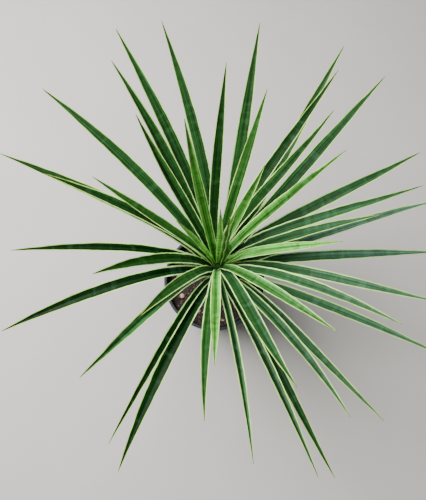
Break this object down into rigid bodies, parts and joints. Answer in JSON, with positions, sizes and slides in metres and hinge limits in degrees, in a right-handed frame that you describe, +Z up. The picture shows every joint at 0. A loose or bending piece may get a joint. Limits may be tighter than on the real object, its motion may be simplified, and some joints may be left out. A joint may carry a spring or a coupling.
{
  "type": "potted variegated yucca aloifolia",
  "caption": "Young variegated yucca: stiff, channelled, sharp-pointed green blades with cream edges rise from a short ringed stem in a round tapered nursery pot.",
  "frame": {"origin": "centre of the pot's underside, on the surface that the pot stands on", "axes": "+Z up along the pot's axis, +X to the right and +Y away as the plant is usually seen"},
  "size_m": [0.9837, 0.8785, 0.8082],
  "materials": {
    "pot": "satin black injection-moulded plastic",
    "soil": "rough damp bark-based potting mix",
    "stem": "fibrous, ringed with leaf scars",
    "pebble": "matt worn stone",
    "leaf": "waxy dark green with cream edges",
    "young_leaf": "waxy yellow-green with pale edges"
  },
  "bodies": {
    "root": {"pot": "pot", "soil": "soil", "stem": "stem", "pebble": "pebble", "leaf_01": "leaf", "leaf_02": "leaf", "leaf_03": "leaf", "leaf_04": "leaf", "leaf_05": "leaf", "leaf_06": "leaf", "leaf_07": "leaf", "leaf_08": "leaf", "leaf_09": "leaf", "leaf_10": "leaf", "leaf_11": "leaf", "leaf_12": "leaf", "leaf_13": "leaf", "leaf_14": "leaf", "leaf_15": "leaf", "leaf_16": "leaf", "leaf_17": "leaf", "leaf_18": "leaf", "leaf_19": "leaf", "leaf_20": "leaf", "leaf_21": "leaf", "leaf_22": "leaf", "leaf_23": "leaf", "leaf_24": "leaf", "leaf_25": "leaf", "leaf_26": "leaf", "leaf_27": "leaf", "leaf_28": "leaf", "leaf_29": "leaf", "leaf_30": "leaf", "leaf_31": "leaf", "leaf_32": "leaf", "leaf_33": "leaf", "leaf_34": "leaf", "leaf_35": "leaf", "leaf_36": "young_leaf", "leaf_37": "leaf", "leaf_38": "young_leaf", "leaf_39": "leaf", "leaf_40": "young_leaf", "leaf_41": "young_leaf", "leaf_42": "young_leaf", "leaf_43": "young_leaf", "leaf_44": "young_leaf", "leaf_45": "young_leaf", "leaf_46": "young_leaf", "leaf_47": "young_leaf", "leaf_48": "young_leaf"}
  },
  "joints": []
}
